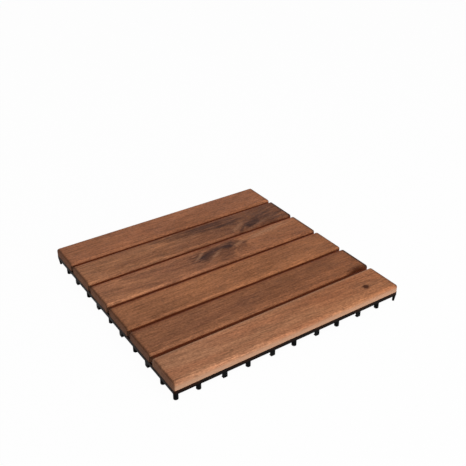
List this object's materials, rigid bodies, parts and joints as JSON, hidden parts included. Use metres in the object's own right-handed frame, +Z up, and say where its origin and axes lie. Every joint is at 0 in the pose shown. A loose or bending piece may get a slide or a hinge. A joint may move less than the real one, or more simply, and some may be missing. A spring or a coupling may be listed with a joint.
{
  "type": "interlocking deck tile",
  "caption": "Square interlocking deck tile: oiled hardwood slats screwed onto a black moulded lattice with feet, locking tabs and loops along its edges.",
  "frame": {"origin": "on the ground under the middle of the tile, at the tip of the middle foot", "axes": "+X along the slats towards a loop side, +Y across the slats towards the other loop side, +Z up out of the walking face. The locking tabs are on the -X and -Y sides."},
  "size_m": [0.3044, 0.3044, 0.0227],
  "materials": {
    "grid_plastic": "moulded satin black with a fine grain",
    "oiled_hardwood": "reddish-brown acacia, planed and oiled, low sheen",
    "screw_steel": "zinc-plated steel"
  },
  "bodies": {
    "root": {"base_grid": "grid_plastic", "slat_1": "oiled_hardwood", "slat_2": "oiled_hardwood", "slat_3": "oiled_hardwood", "slat_4": "oiled_hardwood", "slat_5": "oiled_hardwood", "slat_6": "oiled_hardwood", "slat_screws": "screw_steel"}
  },
  "joints": []
}
